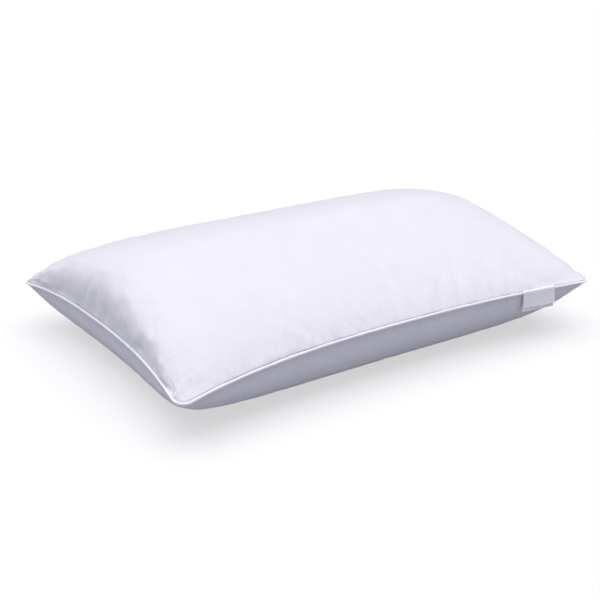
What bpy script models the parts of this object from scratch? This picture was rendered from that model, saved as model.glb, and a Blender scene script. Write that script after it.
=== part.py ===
"""Bed pillow: a filled cover with a corded piping in its seam, two sewn labels and its threads.

Blender 4.5, metres, +Z up.  The pillow lies flat with its underside on z = 0 and its middle
over the origin.  Its long sides run along X, and the labels hang from the long side at -Y.
The seam line is the loop where the top panel, the piping and the bottom panel are sewn
together.  Every thin piece is laid out from that loop: n is the horizontal distance outwards
from the seam line, b is the height above it.
"""

import math
from dataclasses import dataclass

import bmesh
import bpy
from mathutils import Vector

# Overall sizes of the filled cover, measured at the seam line
SEAM_LENGTH = 0.6699
SEAM_WIDTH = 0.4708
CROWN_HEIGHT = 0.165
CORNER_RADIUS = 0.0165
LONG_SIDE_PULL = 0.0160
SHORT_SIDE_PULL = 0.0120

# Heights of the seam line above the surface that the pillow lies on
FRONT_LEFT_HEIGHT = 0.0575
FRONT_RIGHT_HEIGHT = 0.0725
BACK_LEFT_HEIGHT = 0.0650
BACK_RIGHT_HEIGHT = 0.0820
LONG_SIDE_HEIGHT = 0.0795
SHORT_SIDE_HEIGHT = 0.0805
CORNER_DROP_POWER = 2.9

# How full the panels are: a higher power keeps the middle flat, a lower rounding fills the edge
END_POWER = 4.4
END_ROUNDING = 0.27
SIDE_POWER = 1.6
SIDE_ROUNDING = 0.74
UNDER_POWER = 2.8
UNDER_ROUNDING = 0.36
REST_SHARE = 0.37

# Cloth, seam and piping
CLOTH = 0.0005
GAP = 0.0003
ALLOWANCE = 0.010
ROLL_HEIGHT = 0.0024
ROLL_SET_BACK = 0.0004
CORD_RADIUS = 0.0009
THREAD_RADIUS = 0.0002
STITCH_INSET = 0.0024
OVERLOCK_THREAD = 0.0003
OVERLOCK_BITE = 0.003
FILLING_CLEARANCE = 0.003
FILLING_SET_BACK = 0.006

# Labels
LABEL_WIDTH = 0.056
LABEL_FROM_CORNER = 0.097
LABEL_CLOTH = 0.00025
LABEL_CLEARANCE = 0.0005
CONTENT_LABEL_DROP = 0.027
CARE_LABEL_DROP = 0.022
LABEL_THREAD_INSET = 0.002

# Filling opening, closed by hand in the short side at +X
OPENING_LENGTH = 0.150
CLOSING_PITCH = 0.005
CLOSING_SWING = 0.0006

# Mesh steps
LONG_STEPS = 10
SHORT_STEPS = 8
CORNER_STEPS = 4
PIPING_STEPS = 8
CORD_SIDES = 8
THREAD_SIDES = 4
RINGS = (0.985, 0.95, 0.88, 0.76, 0.58)
INNER_RING = 0.18

HALF_LENGTH = SEAM_LENGTH / 2
HALF_WIDTH = SEAM_WIDTH / 2
PIPING_BORE = CORD_RADIUS + GAP
PIPING_RADIUS = PIPING_BORE + CLOTH
PIPING_OUT = PIPING_RADIUS + GAP
FOLD_HEIGHT = GAP / 2 + CLOTH + GAP
STACK_HEIGHT = FOLD_HEIGHT + CLOTH


@dataclass
class Station:
    """One place on the seam loop: its point, its outward normal and its share of each half side."""

    point: Vector
    normal: Vector
    u: float
    v: float

    def place(self, n, b):
        """The point n outside the seam line and b above the sheet that the seam line lies in."""
        u = self.u + n * self.normal.x / HALF_LENGTH
        v = self.v + n * self.normal.y / HALF_WIDTH
        at = self.point + self.normal * n
        return Vector((at.x, at.y, seam_height(u, v) + b))


def edge_height(middle, start, end, t):
    """Height along one side, from corner (t = -1) to corner (t = 1), level in between."""
    corners = (start * (1 - t) + end * (1 + t)) / 2
    share = abs(t) ** CORNER_DROP_POWER
    return corners * share + middle * (1 - share)


def seam_height(u, v):
    """Height of the seam line, carried smoothly across the middle from the four sides."""
    front = edge_height(LONG_SIDE_HEIGHT, FRONT_LEFT_HEIGHT, FRONT_RIGHT_HEIGHT, u)
    back = edge_height(LONG_SIDE_HEIGHT, BACK_LEFT_HEIGHT, BACK_RIGHT_HEIGHT, u)
    left = edge_height(SHORT_SIDE_HEIGHT, FRONT_LEFT_HEIGHT, BACK_LEFT_HEIGHT, v)
    right = edge_height(SHORT_SIDE_HEIGHT, FRONT_RIGHT_HEIGHT, BACK_RIGHT_HEIGHT, v)
    front_corners = FRONT_LEFT_HEIGHT * (1 - u) + FRONT_RIGHT_HEIGHT * (1 + u)
    back_corners = BACK_LEFT_HEIGHT * (1 - u) + BACK_RIGHT_HEIGHT * (1 + u)
    across = (front * (1 - v) + back * (1 + v)) / 2
    along = (left * (1 - u) + right * (1 + u)) / 2
    corners = (front_corners * (1 - v) + back_corners * (1 + v)) / 4
    return across + along - corners


def seam_point(u, v):
    """Point of the seam line: its sides are drawn in between the corners by the filling."""
    x = u * (HALF_LENGTH - SHORT_SIDE_PULL * (1 - v * v))
    y = v * (HALF_WIDTH - LONG_SIDE_PULL * (1 - u * u))
    return Vector((x, y, seam_height(u, v)))


def seam_shares():
    """Shares (u, v) of the half sides at each station, anticlockwise from the front left corner."""
    straight_x = HALF_LENGTH - CORNER_RADIUS
    straight_y = HALF_WIDTH - CORNER_RADIUS
    sides = (
        (-straight_x, -straight_y, 2 * straight_x, LONG_STEPS, -math.pi / 2),
        (straight_x, -straight_y, 2 * straight_y, SHORT_STEPS, 0.0),
        (straight_x, straight_y, 2 * straight_x, LONG_STEPS, math.pi / 2),
        (-straight_x, straight_y, 2 * straight_y, SHORT_STEPS, math.pi),
    )
    shares = []
    for x, y, run, steps, facing in sides:
        outward = Vector((math.cos(facing), math.sin(facing)))
        forward = Vector((-outward.y, outward.x))
        start = Vector((x, y)) + outward * CORNER_RADIUS
        for step in range(steps):
            at = start + forward * (run * step / steps)
            shares.append((at.x / HALF_LENGTH, at.y / HALF_WIDTH))
        centre = Vector((x, y)) + forward * run
        for step in range(CORNER_STEPS):
            turn = facing + math.pi / 2 * step / CORNER_STEPS
            at = centre + CORNER_RADIUS * Vector((math.cos(turn), math.sin(turn)))
            shares.append((at.x / HALF_LENGTH, at.y / HALF_WIDTH))
    return shares


def seam_stations():
    """The stations of the whole seam loop."""
    shares = seam_shares()
    points = [seam_point(u, v) for u, v in shares]
    stations = []
    for i, (u, v) in enumerate(shares):
        along = points[(i + 1) % len(points)] - points[i - 1]
        normal = Vector((along.y, -along.x, 0)).normalized()
        stations.append(Station(points[i], normal, u, v))
    return stations


def swell(ring, station, powers, rounding):
    """Fullness of a panel on the line from the middle (ring = 0) to the seam (ring = 1)."""
    reach = max(abs(station.u), abs(station.v))
    end = 1 - (ring * abs(station.u) / reach) ** powers[0]
    side = 1 - (ring * abs(station.v) / reach) ** powers[1]
    return max(0.0, end) ** rounding[0] * max(0.0, side) ** rounding[1]


def top_point(ring, station, lift):
    """Point of the top panel, which leaves the seam lift above the seam line."""
    start = seam_height(ring * station.u, ring * station.v) + lift
    full = swell(ring, station, (END_POWER, SIDE_POWER), (END_ROUNDING, SIDE_ROUNDING))
    plan = station.point * ring
    return Vector((plan.x, plan.y, start + (CROWN_HEIGHT - start) * full))


def bottom_point(ring, station, lift):
    """Point of the bottom panel, which leaves the seam lift below it and then lies flat."""
    start = station.point.z - lift
    share = max(0.0, (ring - REST_SHARE) / (1 - REST_SHARE))
    full = swell(share, station, (UNDER_POWER, UNDER_POWER), (UNDER_ROUNDING, UNDER_ROUNDING))
    plan = station.point * ring
    return Vector((plan.x, plan.y, start * (1 - full)))


def closed_faces(rows):
    """Quads between rows of vertices, each row a closed loop round the seam."""
    faces = []
    for low, high in zip(rows, rows[1:]):
        for i in range(len(low)):
            j = (i + 1) % len(low)
            faces.append((low[i], low[j], high[j], high[i]))
    return faces


def finish(name, bm, material):
    """Turns a finished bmesh into the named object."""
    bmesh.ops.recalc_face_normals(bm, faces=bm.faces)
    mesh = bpy.data.meshes.new(name)
    bm.to_mesh(mesh)
    bm.free()
    mesh.materials.append(material)
    mesh.shade_smooth()
    mesh.set_sharp_from_angle(angle=math.radians(40))
    obj = bpy.data.objects.new(name, mesh)
    bpy.context.scene.collection.objects.link(obj)
    return obj


def loft(name, rows, material, cap=None):
    """A body lofted through rows of points; cap names how its first and last rows end."""
    bm = bmesh.new()
    rings = [[bm.verts.new(point) for point in row] for row in rows]
    for face in closed_faces(rings if cap else rings + rings[:1]):
        bm.faces.new(face)
    if cap in ("both", "last"):
        bm.faces.new(rings[-1])
    if cap == "both":
        bm.faces.new(rings[0])
    return finish(name, bm, material)


def panel(name, stations, point, side, material):
    """A shell of cloth: crown or underside, the roll beside the piping and the turned-in edge.

    side is 1 for the top panel and -1 for the bottom one, and point gives its outer surface.
    """
    lift = FOLD_HEIGHT + ROLL_HEIGHT
    rows = [
        [s.place(-ALLOWANCE, side * FOLD_HEIGHT) for s in stations],
        [s.place(-ALLOWANCE / 2, side * FOLD_HEIGHT) for s in stations],
        [s.place(0, side * FOLD_HEIGHT) for s in stations],
        [s.place(-ROLL_SET_BACK, side * lift) for s in stations],
    ]
    innermost = (INNER_RING,) if side > 0 else (REST_SHARE,)
    for ring in RINGS + innermost:
        rows.append([point(ring, s, lift) for s in stations])
    shell = loft(name, rows, material, cap="last")
    if shell.data.polygons[len(shell.data.polygons) - 1].normal.z * side < 0:
        shell.data.flip_normals()
    solidify = shell.modifiers.new("cloth thickness", "SOLIDIFY")
    solidify.thickness = CLOTH
    solidify.offset = -1
    solidify.use_even_offset = True
    return shell


def swept(name, stations, profile, material):
    """A closed band with the same cross-section, a list of (n, b), all round the seam."""
    rows = [[s.place(n, b) for s in stations] for n, b in profile]
    return loft(name, rows, material)


def circle(n, b, radius, sides):
    """Cross-section points of a round cord or thread."""
    turns = [2 * math.pi * (i + 0.5) / sides for i in range(sides)]
    return [(n + radius * math.cos(t), b + radius * math.sin(t)) for t in turns]


def arc(n, b, radius, start, end, steps):
    """Cross-section points along an arc, both ends included."""
    turns = [start + (end - start) * i / steps for i in range(steps + 1)]
    return [(n + radius * math.cos(t), b + radius * math.sin(t)) for t in turns]


def piping_profile():
    """Bias strip folded round the cord, with its two edges laid together in the seam."""
    outer = GAP / 2 + CLOTH
    inner = GAP / 2
    outer_turn = math.pi - math.asin(outer / PIPING_RADIUS)
    inner_turn = math.pi - math.asin(inner / PIPING_BORE)
    outside = arc(PIPING_OUT, 0, PIPING_RADIUS, outer_turn, -outer_turn, PIPING_STEPS)
    inside = arc(PIPING_OUT, 0, PIPING_BORE, -inner_turn, inner_turn, PIPING_STEPS)
    upper = [(-ALLOWANCE, inner), (-ALLOWANCE, outer)]
    lower = [(-ALLOWANCE, -outer), (-ALLOWANCE, -inner)]
    return upper + outside + lower + inside


def overlock_profile():
    """Thread wrapped over the cut edges of all four layers."""
    near = STACK_HEIGHT + GAP
    far = near + OVERLOCK_THREAD
    mouth = OVERLOCK_BITE - ALLOWANCE
    throat = -ALLOWANCE - GAP
    back = throat - OVERLOCK_THREAD
    upper = [(throat, near), (mouth, near), (mouth, far), (back, far)]
    lower = [(back, -far), (mouth, -far), (mouth, -near), (throat, -near)]
    return upper + lower


def tube(name, points, radius, material):
    """A thread with square ends along a list of points."""
    rows = []
    for i, at in enumerate(points):
        along = points[min(i + 1, len(points) - 1)] - points[max(i - 1, 0)]
        side = along.cross(Vector((0, 0, 1))).normalized()
        up = side.cross(along).normalized()
        ring = circle(0, 0, radius, THREAD_SIDES)
        rows.append([at + side * a + up * b for a, b in ring])
    return loft(name, rows, material, cap="both")


def filling(stations, material):
    """One soft body of down, clear of the cover and of the turned-in edges."""
    edge = 1 - (ALLOWANCE + FILLING_SET_BACK) / HALF_WIDTH
    lift = FOLD_HEIGHT + ROLL_HEIGHT
    drop = Vector((0, 0, FILLING_CLEARANCE))
    rings = [edge] + [ring for ring in RINGS if ring < edge]
    under = [[bottom_point(ring, s, lift) + drop for s in stations] for ring in rings + [REST_SHARE]]
    over = [[top_point(ring, s, lift) - drop for s in stations] for ring in rings + [INNER_RING]]
    return loft("filling", under[::-1] + over, material, cap="both")


@dataclass
class LabelPlace:
    """Where the labels fold over the piping: the piping's middle line there and its frame."""

    centre: Vector
    along: Vector
    outward: Vector
    up: Vector

    def place(self, distance, out, height):
        """Point at a distance along the seam from the labels' middle."""
        return self.centre + self.along * distance + self.outward * out + self.up * height


def label_place():
    """The frame of the labels on the front side, square to the piping."""
    u = 1 - LABEL_FROM_CORNER / HALF_LENGTH
    half = LABEL_WIDTH / 2 / HALF_LENGTH
    start = seam_point(u - half, -1)
    end = seam_point(u + half, -1)
    along = (end - start).normalized()
    outward = Vector((along.y, -along.x, 0)).normalized()
    middle = (start + end) / 2 + outward * PIPING_OUT
    return LabelPlace(middle, along, outward, outward.cross(along))


def label_outline(radius, drop):
    """Leaf from the top of the piping, over it and straight down, as (out, height)."""
    curve = arc(0, 0, radius, math.pi / 2, 0, PIPING_STEPS)
    return curve + [(radius, -drop)]


def label(name, place, radius, drop, material):
    """One leaf of label cloth whose inner face lies on the given radius round the piping."""
    inner = label_outline(radius, drop)
    outer = label_outline(radius + LABEL_CLOTH, drop)
    section = inner + outer[::-1]
    rows = [
        [place.place(side * LABEL_WIDTH / 2, out, height) for out, height in section]
        for side in (-1, 1)
    ]
    return loft(name, rows, material, cap="both")


def label_thread(place, radius, material):
    """Row of thread across the top of both leaves."""
    count = 14
    turn = math.pi / 2 - LABEL_THREAD_INSET / radius
    points = []
    for i in range(count + 1):
        distance = (i / count - 0.5) * (LABEL_WIDTH - 2 * LABEL_THREAD_INSET)
        lift = radius + THREAD_RADIUS * (1 + i % 2)
        points.append(place.place(distance, lift * math.cos(turn), lift * math.sin(turn)))
    return tube("label_thread", points, THREAD_RADIUS, material)


def closing_thread(material):
    """Hand stitches between the bottom panel and the piping, along the filling opening."""
    count = 2 * round(OPENING_LENGTH / CLOSING_PITCH / 2)
    half = OPENING_LENGTH / 2 / HALF_WIDTH
    middle = (PIPING_OUT - ROLL_SET_BACK) / 4
    depth = FOLD_HEIGHT + ROLL_HEIGHT * 0.75
    points = []
    for i in range(count + 1):
        v = half * (2 * i / count - 1)
        swing = CLOSING_SWING * (1 if i % 2 else -1) / 2
        points.append(seam_point(1, v) + Vector((middle + swing, 0, -depth)))
    return tube("closing_thread", points, THREAD_RADIUS, material)


def material(name, colour, roughness):
    """A Principled material with the piece's colour and roughness."""
    made = bpy.data.materials.new(name)
    made.use_nodes = True
    shader = made.node_tree.nodes["Principled BSDF"]
    shader.inputs["Base Color"].default_value = (*colour, 1)
    shader.inputs["Roughness"].default_value = roughness
    shader.inputs["Metallic"].default_value = 0
    return made


def clear_scene():
    """Removes whatever the file opened with."""
    for obj in list(bpy.data.objects):
        bpy.data.objects.remove(obj, do_unlink=True)


def build():
    """Builds every piece of the pillow."""
    clear_scene()
    percale = material("white percale", (0.86, 0.86, 0.90), 0.75)
    piping = material("white bias piping", (0.92, 0.92, 0.95), 0.70)
    cotton_cord = material("cotton cord", (0.85, 0.84, 0.80), 0.90)
    down = material("down filling", (0.93, 0.92, 0.89), 0.95)
    thread = material("white sewing thread", (0.90, 0.90, 0.92), 0.60)
    tape = material("label tape", (0.84, 0.85, 0.86), 0.55)

    stations = seam_stations()
    panel("top_panel", stations, top_point, 1, percale)
    panel("bottom_panel", stations, bottom_point, -1, percale)
    swept("piping_cover", stations, piping_profile(), piping)
    swept("piping_cord", stations, circle(PIPING_OUT, 0, CORD_RADIUS, CORD_SIDES), cotton_cord)
    filling(stations, down)

    thread_height = STACK_HEIGHT + GAP + THREAD_RADIUS
    needle = circle(-STITCH_INSET, thread_height, THREAD_RADIUS, THREAD_SIDES)
    bobbin = circle(-STITCH_INSET, -thread_height, THREAD_RADIUS, THREAD_SIDES)
    swept("seam_needle_thread", stations, needle, thread)
    swept("seam_bobbin_thread", stations, bobbin, thread)
    swept("edge_overlock_thread", stations, overlock_profile(), thread)
    closing_thread(thread)

    place = label_place()
    content_radius = PIPING_RADIUS + LABEL_CLEARANCE
    care_radius = content_radius + LABEL_CLOTH + GAP
    label("content_label", place, content_radius, CONTENT_LABEL_DROP, tape)
    label("care_label", place, care_radius, CARE_LABEL_DROP, tape)
    label_thread(place, care_radius + LABEL_CLOTH + GAP + THREAD_RADIUS, thread)


build()
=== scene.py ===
"""Looks of the bed pillow: sewn percale cover, corded piping, labels, threads and down filling.

Every length is in metres, in the frame of the CAD part: +Z up, long sides along X, labels on
the side at -Y.  Thin pieces are laid out from the seam line, the loop where the panels and the
piping are sewn together: n is the horizontal distance outwards from it, b the height above it.
"""

import logging
import math
from dataclasses import dataclass, replace
from enum import Enum

import bmesh
import bpy
import numpy as np
from mathutils import Matrix, Vector


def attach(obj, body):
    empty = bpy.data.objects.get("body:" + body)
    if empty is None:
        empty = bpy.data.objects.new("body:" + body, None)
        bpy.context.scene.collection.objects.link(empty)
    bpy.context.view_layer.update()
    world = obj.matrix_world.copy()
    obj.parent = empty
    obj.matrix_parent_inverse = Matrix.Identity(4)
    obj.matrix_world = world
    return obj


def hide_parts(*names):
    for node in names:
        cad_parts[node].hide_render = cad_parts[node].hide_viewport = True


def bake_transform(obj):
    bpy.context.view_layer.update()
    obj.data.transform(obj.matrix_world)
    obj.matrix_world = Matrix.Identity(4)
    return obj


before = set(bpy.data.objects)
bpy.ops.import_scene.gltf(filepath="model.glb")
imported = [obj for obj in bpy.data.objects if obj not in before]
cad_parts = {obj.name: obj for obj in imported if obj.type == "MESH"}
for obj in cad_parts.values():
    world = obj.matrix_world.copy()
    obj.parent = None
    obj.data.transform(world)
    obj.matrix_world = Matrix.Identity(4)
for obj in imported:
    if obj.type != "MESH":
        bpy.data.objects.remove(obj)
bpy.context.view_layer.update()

LOG = logging.getLogger("pillow")
PILLOW_BODY = "pillow"
LABEL_BODY = "label_flap"
GAP = 0.0003
FULL_TURN = 2 * math.pi
SEED = 7
FRAMES = 25
CURVE_SAMPLES = 2001


class Side(Enum):
    """Which panel of the cover, with the sign of its outward direction."""

    TOP = 1
    BOTTOM = -1


# ---------------------------------------------------------------------------------------------
# Seam line
# ---------------------------------------------------------------------------------------------


@dataclass
class Loop:
    """Stations spaced round the seam line."""

    u: np.ndarray
    v: np.ndarray
    points: np.ndarray
    normals: np.ndarray
    along: np.ndarray

    @property
    def count(self) -> int:
        """How many stations there are."""
        return len(self.u)


@dataclass
class SeamLine:
    """The loop where panels and piping meet, with the sizes of the CAD part."""

    length: float = 0.6699
    width: float = 0.4708
    corner_radius: float = 0.0165
    long_side_pull: float = 0.0160
    short_side_pull: float = 0.0120
    front_left_height: float = 0.0575
    front_right_height: float = 0.0725
    back_left_height: float = 0.0650
    back_right_height: float = 0.0820
    long_side_height: float = 0.0795
    short_side_height: float = 0.0805
    corner_drop_power: float = 2.9

    def _edge(self, middle: float, start: float, end: float, t: np.ndarray) -> np.ndarray:
        """Height along one side from corner (t = -1) to corner (t = 1)."""
        share = np.abs(t) ** self.corner_drop_power
        return (start * (1 - t) + end * (1 + t)) / 2 * share + middle * (1 - share)

    def height(self, u: np.ndarray, v: np.ndarray) -> np.ndarray:
        """Height of the sheet that the seam line lies in.

        Args:
            u: Share of the half length.
            v: Share of the half width.

        Returns:
            Heights above the surface that the pillow lies on.
        """
        low, high = self.front_left_height, self.front_right_height
        far_low, far_high = self.back_left_height, self.back_right_height
        front = self._edge(self.long_side_height, low, high, u)
        back = self._edge(self.long_side_height, far_low, far_high, u)
        left = self._edge(self.short_side_height, low, far_low, v)
        right = self._edge(self.short_side_height, high, far_high, v)
        front_corners = low * (1 - u) + high * (1 + u)
        back_corners = far_low * (1 - u) + far_high * (1 + u)
        across = (front * (1 - v) + back * (1 + v)) / 2
        lengthwise = (left * (1 - u) + right * (1 + u)) / 2
        return across + lengthwise - (front_corners * (1 - v) + back_corners * (1 + v)) / 4

    def point(self, u: np.ndarray, v: np.ndarray) -> np.ndarray:
        """Points of the seam's sheet, its sides drawn in between the corners.

        Args:
            u: Share of the half length.
            v: Share of the half width.

        Returns:
            Points, one per share.
        """
        x = u * (self.length / 2 - self.short_side_pull * (1 - v * v))
        y = v * (self.width / 2 - self.long_side_pull * (1 - u * u))
        return np.stack([x, y, self.height(u, v)], axis=-1)

    def rounded(self, s: np.ndarray, t: np.ndarray) -> tuple[np.ndarray, np.ndarray]:
        """Moves the shares of a full rectangle into one with round corners.

        Args:
            s: Share of the half length, -1 to 1.
            t: Share of the half width, -1 to 1.

        Returns:
            The shares (u, v) inside the rounded outline.
        """
        ru = 2 * self.corner_radius / self.length
        rv = 2 * self.corner_radius / self.width
        a = np.clip((np.abs(s) - (1 - ru)) / ru, 0, 1)
        b = np.clip((np.abs(t) - (1 - rv)) / rv, 0, 1)
        u = np.minimum(np.abs(s), 1 - ru) + ru * a * np.sqrt(1 - b * b / 2)
        v = np.minimum(np.abs(t), 1 - rv) + rv * b * np.sqrt(1 - a * a / 2)
        return np.sign(s) * u, np.sign(t) * v

    def stations(self, u: np.ndarray, v: np.ndarray) -> Loop:
        """The loop through closed, anticlockwise shares."""
        points = self.point(u, v)
        ahead = np.roll(points, -1, axis=0) - np.roll(points, 1, axis=0)
        normals = np.stack([ahead[:, 1], -ahead[:, 0], np.zeros(len(u))], axis=-1)
        normals /= np.linalg.norm(normals, axis=1)[:, None]
        steps = np.linalg.norm(np.roll(points, -1, axis=0) - points, axis=1)
        along = np.concatenate([[0.0], np.cumsum(steps)])[:-1]
        return Loop(u, v, points, normals, along)

    def loop(self, count: int) -> Loop:
        """Evenly spaced stations.

        Args:
            count: How many stations.

        Returns:
            The loop, which starts at the front left corner.
        """
        fine = 1200
        ramp = np.linspace(-1, 1, fine, endpoint=False)
        one = np.ones(fine)
        s = np.concatenate([ramp, one, -ramp, -one])
        t = np.concatenate([-one, ramp, one, -ramp])
        u, v = self.rounded(s, t)
        dense = self.stations(u, v)
        last = np.linalg.norm(dense.points[0] - dense.points[-1])
        total = dense.along[-1] + last
        wanted = np.arange(count) * total / count
        spots = np.concatenate([dense.along, [total]])
        return self.stations(
            np.interp(wanted, spots, np.append(u, u[0])),
            np.interp(wanted, spots, np.append(v, v[0])),
        )

    def place(self, loop: Loop, n: np.ndarray | float, b: np.ndarray | float) -> np.ndarray:
        """Points at n outside the loop and b above its sheet.

        Args:
            loop: Stations to work from.
            n: Outward distance, one for all or one per station.
            b: Height, one for all or one per station.

        Returns:
            One point per station.
        """
        n = np.broadcast_to(n, (loop.count,))
        u = loop.u + n * loop.normals[:, 0] / (self.length / 2)
        v = loop.v + n * loop.normals[:, 1] / (self.width / 2)
        at = loop.points + loop.normals * n[:, None]
        at[:, 2] = self.height(u, v) + b
        return at


@dataclass
class SeamStack:
    """Heights of the layers that meet in the seam, from the CAD part."""

    cloth: float = 0.0005
    allowance: float = 0.010
    roll_height: float = 0.0010
    roll_set_back: float = -0.0015
    cord_radius: float = 0.0009
    thread_radius: float = 0.0002

    @property
    def piping_bore(self) -> float:
        """Inner radius of the piping."""
        return self.cord_radius + GAP

    @property
    def piping_radius(self) -> float:
        """Outer radius of the piping."""
        return self.piping_bore + self.cloth

    @property
    def piping_out(self) -> float:
        """How far the piping's middle line lies outside the seam line."""
        return self.piping_radius + GAP

    @property
    def fold_height(self) -> float:
        """Where a panel's turned-in edge lies above or below the seam line."""
        return GAP / 2 + self.cloth + GAP

# ---------------------------------------------------------------------------------------------
# Mesh helpers
# ---------------------------------------------------------------------------------------------


def smooth_noise(points: np.ndarray, scale: float, seed: int) -> np.ndarray:
    """Repeatable smooth noise, about -1 to 1.

    Args:
        points: Places, one row each.
        scale: Size of one bump.
        seed: Which pattern.

    Returns:
        One value per place.
    """
    random = np.random.default_rng(seed)
    waves = 24
    turns = random.normal(size=(waves, points.shape[1])) * (FULL_TURN / scale / 2)
    phases = random.uniform(0, FULL_TURN, waves)
    return np.sin(points @ turns.T + phases).sum(axis=1) / math.sqrt(waves)


def mesh_object(
    name: str, points: np.ndarray, faces: np.ndarray | list, uvs: np.ndarray | None = None
) -> bpy.types.Object:
    """A smooth mesh object at the origin.

    Args:
        name: Name of the piece.
        points: Vertices.
        faces: Vertex numbers of each face.
        uvs: A texture place per vertex.

    Returns:
        The new object.
    """
    mesh = bpy.data.meshes.new(name)
    mesh.from_pydata([tuple(p) for p in points], [], [tuple(f) for f in faces])
    mesh.shade_smooth()
    if uvs is not None:
        layer = mesh.uv_layers.new(name="cloth")
        corners = np.empty(len(mesh.loops), dtype=np.int32)
        mesh.loops.foreach_get("vertex_index", corners)
        layer.data.foreach_set("uv", uvs[corners].astype(np.float32).ravel())
    made = bpy.data.objects.new(name, mesh)
    bpy.context.scene.collection.objects.link(made)
    return made


def band_faces(rows: int, count: int, closed_rows: bool, closed_path: bool) -> np.ndarray:
    """Quads of a lofted band of rows with count vertices each, numbered row by row."""
    row_total = rows if closed_rows else rows - 1
    path_total = count if closed_path else count - 1
    r, i = np.meshgrid(np.arange(row_total), np.arange(path_total), indexing="ij")
    up = (r + 1) % rows
    on = (i + 1) % count
    quads = [r * count + i, r * count + on, up * count + on, up * count + i]
    return np.stack(quads, axis=-1).reshape(-1, 4)


def grid_quads(columns: int, rows: int) -> np.ndarray:
    """Quads of a grid whose vertices are numbered along its rows, facing up."""
    number = np.arange(columns * rows).reshape(columns, rows)
    corners = [number[:-1, :-1], number[1:, :-1], number[1:, 1:], number[:-1, 1:]]
    return np.stack(corners, axis=-1).reshape(-1, 4)


def swept(
    name: str, rows: np.ndarray, along: np.ndarray, around: np.ndarray, closed_path: bool
) -> bpy.types.Object:
    """A tube lofted through rows of points, each row running the length of the path.

    Args:
        name: Name of the piece.
        rows: Array of rows, stations and coordinates.
        along: Length along the path at each station.
        around: Length round the cross-section at each row.
        closed_path: Whether the path ends where it began.

    Returns:
        The closed tube.
    """
    count = rows.shape[1]
    faces = band_faces(len(rows), count, True, closed_path).tolist()
    if not closed_path:
        ends = np.arange(len(rows)) * count
        faces.append(ends.tolist())
        faces.append((ends + count - 1)[::-1].tolist())
    uvs = np.stack(np.broadcast_arrays(along[None, :], around[:, None]), axis=-1).reshape(-1, 2)
    made = mesh_object(name, rows.reshape(-1, 3), faces, uvs)
    face_outwards(made)
    return made


def face_outwards(piece: bpy.types.Object) -> None:
    """Turns every face of a closed piece to point out."""
    work = bmesh.new()
    work.from_mesh(piece.data)
    bmesh.ops.recalc_face_normals(work, faces=work.faces)
    if work.calc_volume(signed=True) < 0:
        bmesh.ops.reverse_faces(work, faces=work.faces)
    work.to_mesh(piece.data)
    work.free()


def select_only(piece: bpy.types.Object) -> None:
    """Makes one piece the selected and active object."""
    bpy.ops.object.select_all(action="DESELECT")
    piece.select_set(True)
    bpy.context.view_layer.objects.active = piece


def apply_modifiers(piece: bpy.types.Object) -> None:
    """Applies a piece's modifiers in order."""
    select_only(piece)
    for modifier in list(piece.modifiers):
        bpy.ops.object.modifier_apply(modifier=modifier.name)


def subdivide(piece: bpy.types.Object, levels: int) -> None:
    """Smooths a piece with subdivision and applies it."""
    surface = piece.modifiers.new("smooth cloth", "SUBSURF")
    surface.levels = levels
    surface.render_levels = levels
    surface.boundary_smooth = "PRESERVE_CORNERS"
    apply_modifiers(piece)


def thicken(piece: bpy.types.Object, thickness: float) -> None:
    """Gives a sheet its thickness, inwards from its outer face."""
    wall = piece.modifiers.new("cloth thickness", "SOLIDIFY")
    wall.thickness = thickness
    wall.offset = -1
    wall.use_even_offset = False
    apply_modifiers(piece)


# ---------------------------------------------------------------------------------------------
# Finishes
# ---------------------------------------------------------------------------------------------


class Nodes:
    """Short ways to build one node material."""

    def __init__(self, name: str) -> None:
        """Starts a material with its Principled shader."""
        self.material = bpy.data.materials.new(name)
        self.material.use_nodes = True
        self.tree = self.material.node_tree
        self.shader = self.tree.nodes["Principled BSDF"]

    def add(self, kind: str, **values: object) -> bpy.types.Node:
        """Adds a node and sets its properties or its input sockets by name.

        Args:
            kind: Blender's node type.
            values: Property names, or socket names with spaces as underscores.

        Returns:
            The node.
        """
        node = self.tree.nodes.new(kind)
        for key, value in values.items():
            if hasattr(node, key):
                setattr(node, key, value)
            else:
                node.inputs[key.replace("_", " ")].default_value = value
        return node

    def link(self, source: bpy.types.NodeSocket, target: bpy.types.NodeSocket) -> None:
        """Joins two sockets."""
        self.tree.links.new(source, target)

    def math(self, operation: str, *values: object) -> bpy.types.NodeSocket:
        """A Math node whose inputs are numbers or sockets.

        Args:
            operation: Name of the sum.
            values: Numbers or sockets, in order.

        Returns:
            The result socket.
        """
        node = self.add("ShaderNodeMath", operation=operation)
        for socket, value in zip(node.inputs, values):
            if isinstance(value, bpy.types.NodeSocket):
                self.link(value, socket)
            else:
                socket.default_value = value
        return node.outputs[0]

    def relief(self, height: bpy.types.NodeSocket) -> None:
        """Tilts the surface by a height in metres."""
        bump = self.add("ShaderNodeBump", Strength=1.0, Distance=1.0)
        self.link(height, bump.inputs["Height"])
        self.link(bump.outputs[0], self.shader.inputs["Normal"])

    def tint(
        self, share: bpy.types.NodeSocket, dark: tuple, light: tuple, start: float, end: float
    ) -> None:
        """Colours the surface from dark to light.

        Args:
            share: What chooses the colour.
            dark: Colour up to the start.
            light: Colour from the end.
            start: Share where the change begins.
            end: Share where it is over.
        """
        ramp = self.add("ShaderNodeValToRGB")
        stops = zip(ramp.color_ramp.elements, (start, end), (dark, light))
        for stop, position, colour in stops:
            stop.position = position
            stop.color = (*colour, 1)
        self.link(share, ramp.inputs[0])
        self.link(ramp.outputs[0], self.shader.inputs["Base Color"])

    def feel(self, roughness: float, sheen: float) -> None:
        """Sets how matt and how soft the surface looks."""
        self.shader.inputs["Roughness"].default_value = roughness
        self.shader.inputs["Sheen Weight"].default_value = sheen


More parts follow.
